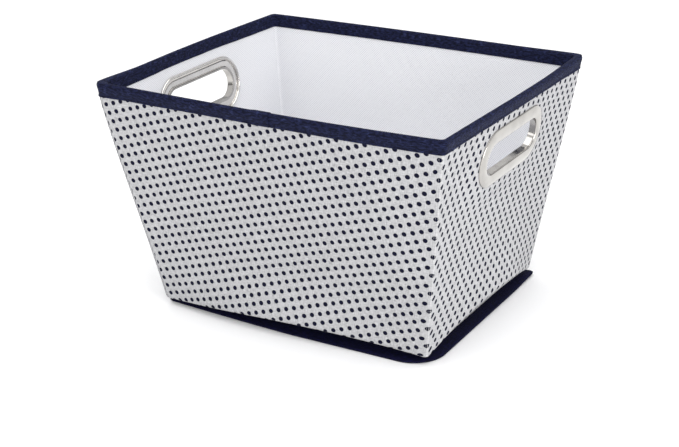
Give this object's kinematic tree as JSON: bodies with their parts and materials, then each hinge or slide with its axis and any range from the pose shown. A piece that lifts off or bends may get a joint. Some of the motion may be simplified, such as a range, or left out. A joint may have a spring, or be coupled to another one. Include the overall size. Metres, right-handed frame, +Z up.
{
  "type": "fabric storage bin",
  "caption": "Open-top tapered storage bin of dotted fabric over stiff boards, with bound rim and base seams, oval metal grommet handles and a loose base insert.",
  "frame": {"origin": "on the floor under the middle of the bin, at the bottom centre of its bounding box", "axes": "+X along the long sides, towards one handle; +Z up, out of the open top; the front with the tape join faces -Y"},
  "size_m": [0.3066, 0.2536, 0.2],
  "materials": {
    "printed_cloth": "matte light grey woven cloth printed with small navy dots",
    "lining_cloth": "matte white non-woven with a fine embossed dimple grid",
    "base_cloth": "matte navy non-woven",
    "chipboard": "raw grey-brown chipboard",
    "navy_tape": "matte navy twill binding tape",
    "navy_thread": "spun polyester sewing thread",
    "nickel": "polished nickel-plated pressed steel"
  },
  "bodies": {
    "bin": {"outer_wrap": "printed_cloth", "lining_wrap": "lining_cloth", "base_fabric": "base_cloth", "wall_board_front": "chipboard", "wall_board_right": "chipboard", "wall_board_back": "chipboard", "wall_board_left": "chipboard", "rim_binding": "navy_tape", "base_binding": "navy_tape", "rim_thread_outside": "navy_thread", "rim_thread_inside": "navy_thread", "base_thread": "navy_thread", "grommet_face_right": "nickel", "grommet_face_left": "nickel", "grommet_washer_right": "nickel", "grommet_washer_left": "nickel"},
    "base_insert": {"insert_board": "chipboard", "insert_cover": "lining_cloth"}
  },
  "joints": [
    {"name": "insert_lift", "type": "slide", "parent": "bin", "child": "base_insert", "axis": [0, 0, 1], "range_m": [0, 0.215]}
  ]
}
